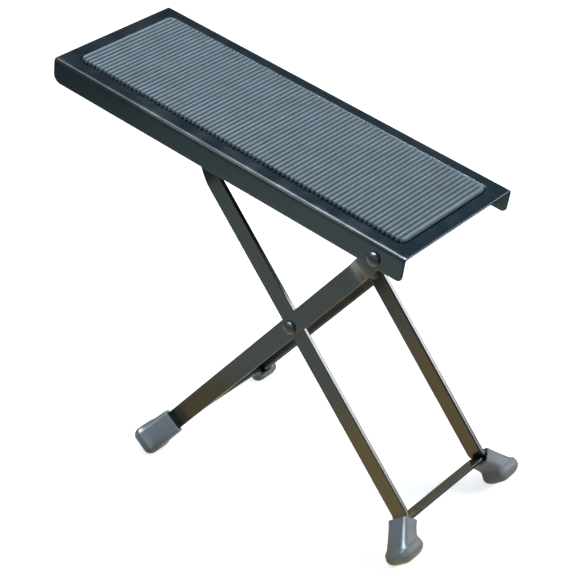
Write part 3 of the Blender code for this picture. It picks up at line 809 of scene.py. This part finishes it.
# Rivets, washers and the rod
def rivet_profile(outside, inside):
    """(radius, y) pairs of a rivet: a dome head outside, a shank and a closed tail inside."""
    head, tail = outside + GAP, inside - GAP
    profile = [(HEAD_RADIUS * sin(radians(turn)), head + HEAD_HEIGHT * cos(radians(turn)))
               for turn in HEAD_TURNS]
    profile += [(HEAD_RADIUS, head + 0.05 * MM), (HEAD_RADIUS - 0.12 * MM, head)]
    profile += [(SHANK, head), (SHANK, tail)]
    profile += [(TAIL_RADIUS - 0.10 * MM, tail), (TAIL_RADIUS, tail - 0.12 * MM)]
    profile += [(TAIL_RADIUS * out, tail - TAIL_HEIGHT * down) for out, down in TAIL_SHARES]
    return profile


def washer_profile(outside):
    inside, bore, bevel = outside - WASHER, SHANK + GAP, WASHER_BEVEL
    return [
        (bore, inside + bevel), (bore + bevel, inside),
        (WASHER_RADIUS - bevel, inside), (WASHER_RADIUS, inside + bevel),
        (WASHER_RADIUS, outside - bevel), (WASHER_RADIUS - bevel, outside),
        (bore + bevel, outside), (bore, outside - bevel),
    ]


def ring_body(profile, steps=48):
    """A closed ring about Y from the (radius, y) pairs of its section."""
    shell = bmesh.new()
    rows = []
    for i in range(steps):
        turn = 2 * pi * i / steps
        rows.append([shell.verts.new((r * cos(turn), y, r * sin(turn))) for r, y in profile])
    count = len(profile)
    for i in range(steps):
        here, there = rows[i], rows[(i + 1) % steps]
        for j in range(count):
            k = (j + 1) % count
            shell.faces.new((here[j], here[k], there[k], there[j]))
    return from_mesh(shell, "ring")


def make_fasteners():
    lug_inside = LUG_SPAN - STRAP / 2 - GAP
    leg_inside = INNER_SPAN - STRAP / 2 - GAP
    leg_outside = OUTER_SPAN + STRAP / 2
    cross_frame = outer_frame @ Matrix.Translation((-PIVOT_TO_CROSSING, 0, 0))
    for side, suffix in SIDES:
        for name, node, outside, inside, matrix, body in (
            ("rivet_top_", "pivot_rivet_", HALF_WIDTH, lug_inside, pivot_frame, "platform"),
            ("rivet_mid_", "cross_rivet_", leg_outside, leg_inside, cross_frame, "outer_frame"),
        ):
            profile = rivet_profile(outside, inside - WASHER)
            mesh = turned([(radius, side * y) for radius, y in profile])
            dress(name + suffix, mesh, matrix, body, node + suffix, rivet_steel)
        for name, node, outside, matrix, body in (
            ("pivotwasher", "pivot_washer_", lug_inside, outer_frame, "outer_frame"),
            ("crosswasher", "cross_washer_", leg_inside, inner_frame, "inner_frame"),
        ):
            mesh = ring_body([(radius, side * y) for radius, y in washer_profile(outside)])
            dress(name + suffix, mesh, matrix, body, node + suffix, washer_steel)
    half = ROD_SPAN + STRAP / 2 + ROD_PROUD
    profile = [(radius, inward - half) for radius, inward in ROD_END]
    profile += [(ROD_RADIUS, half * share) for share in (-0.8, -0.4, 0, 0.4, 0.8)]
    profile += [(radius, half - inward) for radius, inward in reversed(ROD_END)]
    rod_frame = inner_frame @ Matrix.Translation((-ROD_REACH, 0, 0))
    dress("rod", turned(profile), rod_frame, "inner_frame", "ratchet_rod", rod_steel)


# Notched rails
def make_rails():
    """Folded angle strips: the foot lies under the tray and the web carries the notches."""
    underside = TRAY_FLOOR - SHEET - GAP
    rod_along = PIVOT_X - PIVOT_TO_CROSSING * cos(OUTER_ANGLE) - ROD_REACH * cos(INNER_ANGLE)
    notches = [rod_along - i * NOTCH_PITCH for i in reversed(range(NOTCHES))]
    left, right = notches[0] - NOTCH_WALL, notches[-1] + NOTCH_WALL
    seat = ROD_RADIUS + GAP
    half = sqrt(seat * seat - (seat - NOTCH_DEPTH) ** 2)

    def web_edge(x):
        """Height of the web's lower edge at x."""
        for notch in notches:
            if abs(x - notch) < half:
                return RAIL_TIP + NOTCH_DEPTH - seat + sqrt(seat * seat - (x - notch) ** 2)
        reach = min(x - left, right - x)
        if reach < RAIL_END:
            return RAIL_TIP + RAIL_END - sqrt(max(RAIL_END ** 2 - (RAIL_END - reach) ** 2, 0))
        return RAIL_TIP

    ends = (0, 0.05 * MM, 0.2 * MM, 0.5 * MM, MM, RAIL_END)
    just_inside = 1e-6
    xs = [left + inward for inward in ends]
    for notch in notches:
        xs += [notch - half - 0.3 * MM, notch - half + just_inside]
        xs += [notch - half * cos(pi * j / 12) for j in range(1, 12)]
        xs += [notch + half - just_inside, notch + half + 0.3 * MM]
    xs += [right - inward for inward in reversed(ends)]
    outer = RAIL_BEND + RAIL
    steps = [("foot", share) for share in (0, 0.03, 0.10, 0.5)]
    steps += [("bend", i / 8) for i in range(9)]
    steps += [("web", share) for share in (0.35, 0.7, 0.88, 0.95, 0.985, 1.0)]
    for side, suffix in SIDES:
        face = side * (RAIL_SPAN + RAIL)
        foot = side * (RAIL_SPAN - RAIL_FOOT + RAIL)

        def surface(x, index):
            part, share = steps[index]
            corner = face - side * outer
            inward = min(x - left, right - x)
            if part == "foot":
                y = foot + (corner - foot) * share
                return Vector((x, y, underside)), Vector((0, 0, 1)), min(abs(y - foot), inward)
            if part == "bend":
                turn = pi / 2 * share
                normal = Vector((0, side * sin(turn), cos(turn)))
                return Vector((x, corner, underside - outer)) + normal * outer, normal, inward
            low, top = web_edge(x), underside - outer
            z = top + (low - top) * share
            return Vector((x, face, z)), Vector((0, side, 0)), min(z - low, inward)

        mesh = sheet("rail", xs, range(len(steps)), surface, RAIL, RAIL_EDGE)
        dress("rail_" + suffix, mesh, plate_frame, "platform", "notch_rail_" + suffix,
              frame_paint)


# Camera
CAMERA_PLACE = (513.55 * MM, -705.10 * MM, 543.05 * MM)
CAMERA_RIGHT, CAMERA_UP = Vector((0.7606, 0.6381, 0.1197)), Vector((-0.4631, 0.404, 0.7889))
CAMERA_LENS, CAMERA_SHIFT = 112.58, (-0.0009, 0.0009)


def make_camera():
    """The photograph's viewing angle. Its place and directions are those in the plate's frame."""
    back = CAMERA_RIGHT.cross(CAMERA_UP).normalized()
    up = back.cross(CAMERA_RIGHT).normalized()
    turn = Matrix((up.cross(back), up, back)).transposed().to_4x4()
    camera = new_object("camera", bpy.data.cameras.new("camera"))
    camera.matrix_world = plate_frame @ Matrix.Translation(CAMERA_PLACE) @ turn
    camera.data.sensor_width = 36
    camera.data.lens = CAMERA_LENS
    camera.data.shift_x, camera.data.shift_y = CAMERA_SHIFT
    camera.data.clip_start, camera.data.clip_end = 0.05, 30
    bpy.context.scene.camera = camera


# Floor, sky and lamps
FLOOR_SIZE = 6.0
# Painted reflections: for glossy rays the floor glows instead of being lit, in a ground tone by the
# distance from one place, then patches of (x, y, outer radius, inner radius, colour)
REFLECTION_PLACE = (-0.12, -0.20, 0)
REFLECTION_STOPS = ((0.0, (0.85, 1.05, 1.00)), (0.15, (0.80, 1.00, 0.98)), (0.25, (0.55, 0.72, 0.72)),
                (0.45, (0.20, 0.28, 0.30)), (0.65, (0.10, 0.14, 0.16)))
REFLECTION_PATCHES = (
    (0.04, 0.10, 0.16, 0.06, (0.45, 0.34, 0.17)),
    (-0.42, 0.60, 0.42, 0.22, (3.90, 3.10, 1.60)),
    (-0.10, -0.02, 0.10, 0.03, (1.50, 1.50, 1.40)),
    (-0.115, -0.065, 0.055, 0.020, (1.60, 1.65, 1.60)),
    (-0.080, -0.095, 0.048, 0.014, (0.80, 0.62, 0.25)),
    (0.080, -0.065, 0.155, 0.050, (1.75, 1.28, 0.58)),
)
WHITE, COOL_WHITE, OVERHEAD_BLUE = (1.0, 1.0, 1.0), (0.94, 0.98, 1.0), (0.74, 0.89, 1.0)
# Lamps towards the part: (name, way from its centre, distance, (width, depth), power, colour)
LAMPS = (
    ("front", (-0.42, -0.86, 0.58), 1.25, (0.28, 0.45), 2, COOL_WHITE),
    ("back_right", (0.66, 0.655, 0.36), 1.3, (0.50, 0.42), 12, WHITE),
)
# Bands of one overhead panel: (name, left, right, radiance, gloss only)
OVERHEAD_BANDS = (
    ("overhead", -0.80, 0.10, 2.0, False),
    ("overhead_left", -0.80, 0.10, 16.0, True),
    ("overhead_middle", -0.50, 0.12, 60.0, True),
    ("overhead_right", -0.30, 0.15, 150.0, True),
)
OVERHEAD_HEIGHT, OVERHEAD_Y, OVERHEAD_DEPTH = 1.20, -0.02, 1.15


def emission(tree, colour=None):
    node = tree.nodes.new("ShaderNodeEmission")
    if colour:
        node.inputs["Color"].default_value = (*colour, 1)
    return node


def make_floor():
    """White paper under the part. For glossy rays it glows instead, as painted reflections: cool in
    front, warm at the feet, dark far off.
    """
    shell = bmesh.new()
    corners = ((-FLOOR_SIZE, -FLOOR_SIZE, 0), (FLOOR_SIZE, -FLOOR_SIZE, 0),
               (FLOOR_SIZE, FLOOR_SIZE, 0), (-FLOOR_SIZE, FLOOR_SIZE, 0))
    shell.faces.new([shell.verts.new(corner) for corner in corners])
    mesh = from_mesh(shell, "floor")
    floor = new_object("floor", mesh)
    material, tree, shader = new_material("floor_white")
    paper = ramp(tree, noise(tree, 1.5, 2), [(0.3, (0.80, 0.80, 0.80)), (0.7, (0.82, 0.82, 0.82))])
    wire(tree, paper, shader.inputs["Base Color"])
    shader.inputs["Roughness"].default_value = 0.9
    shader.inputs["Specular IOR Level"].default_value = 0.0
    # The camera sees some light of the floor's own, so that it comes out white
    path = tree.nodes.new("ShaderNodeLightPath")
    seen = add(tree, "ShaderNodeMath", operation="MAXIMUM")
    wire(tree, path.outputs["Is Camera Ray"], seen.inputs[0])
    wire(tree, path.outputs["Is Transmission Ray"], seen.inputs[1])
    glow = emission(tree, (0.68, 0.68, 0.68))
    wire(tree, seen.outputs[0], glow.inputs["Strength"])
    both = tree.nodes.new("ShaderNodeAddShader")
    wire(tree, shader.outputs[0], both.inputs[0])
    wire(tree, glow.outputs[0], both.inputs[1])
    # Painted reflections: glossy rays see this glow by distance and in patches, not the lit paper
    tone = ramp(tree, measured(tree, "DISTANCE", REFLECTION_PLACE), REFLECTION_STOPS)
    for x, y, outer, inner, colour in REFLECTION_PATCHES:
        near = share_between(tree, measured(tree, "DISTANCE", (x, y, 0)), outer, inner)
        tone = mix(tree, near, tone, colour)
    gloss = emission(tree)
    wire(tree, tone, gloss.inputs["Color"])
    whole = tree.nodes.new("ShaderNodeMixShader")
    wire(tree, path.outputs["Is Glossy Ray"], whole.inputs[0])
    wire(tree, both.outputs[0], whole.inputs[1])
    wire(tree, gloss.outputs[0], whole.inputs[2])
    wire(tree, whole.outputs[0], tree.nodes["Material Output"].inputs["Surface"])
    mesh.materials.append(material)


def make_sky():
    """White to the camera. The part sees it light in front and dark behind, with a blue patch
    high up."""
    world = bpy.data.worlds.new("studio")
    bpy.context.scene.world = world
    world.use_nodes = True
    tree = world.node_tree

    def towards(x, y, z):
        return measured(tree, "DOT_PRODUCT", Vector((x, y, z)).normalized(), "Generated")

    front = ramp(tree, towards(0, 0, 1), [
        (0.0, (0.72, 0.76, 0.80)), (0.30, (0.60, 0.65, 0.70)), (0.55, (0.16, 0.20, 0.24)),
    ])
    behind = share_between(tree, towards(-0.57, 0.82, 0), -0.1, 0.35)
    colour = mix(tree, behind, front, (0.085, 0.115, 0.15))
    patch = ramp(tree, towards(-0.10, 0.76, 0.64), [(0.90, (0, 0, 0)), (0.985, (0.03, 0.14, 0.24))])
    colour = mix(tree, 1.0, colour, patch, "ADD")
    path = tree.nodes.new("ShaderNodeLightPath")
    background = tree.nodes["Background"]
    wire(tree, mix(tree, path.outputs["Is Camera Ray"], colour, WHITE), background.inputs["Color"])
    background.inputs["Strength"].default_value = 1.0


def lamp(name, location, target, size, power, colour, gloss_only=False):
    """An area lamp, unseen by the camera. size is (width, depth)."""
    data = bpy.data.lights.new(name, "AREA")
    data.shape = "RECTANGLE"
    data.size, data.size_y = size
    data.energy = power
    data.color = colour
    item = new_object(name, data)
    item.location = location
    item.rotation_euler = (target - location).to_track_quat("-Z", "Y").to_euler()
    item.visible_camera = False
    item.visible_diffuse = not gloss_only


def make_lamps():
    """A front and a back lamp towards the part, and a panel overhead of overlapping bands."""
    centre = (cad_low + cad_high) / 2
    for name, way, distance, size, power, colour in LAMPS:
        lamp(name, centre + Vector(way) * distance, centre, size, power, colour)
    for name, left, right, radiance, gloss_only in OVERHEAD_BANDS:
        place = centre + Vector(((left + right) / 2, OVERHEAD_Y, OVERHEAD_HEIGHT))
        size = right - left, OVERHEAD_DEPTH
        power = 4 * (right - left) * OVERHEAD_DEPTH * radiance
        lamp(name, place, place + Vector((0, 0, -1)), size, power, OVERHEAD_BLUE, gloss_only)


make_plate()
make_mat()
make_straps()
make_boots()
make_fasteners()
make_rails()
make_camera()
make_floor()
make_sky()
make_lamps()
bpy.context.scene.view_settings.view_transform = "Standard"
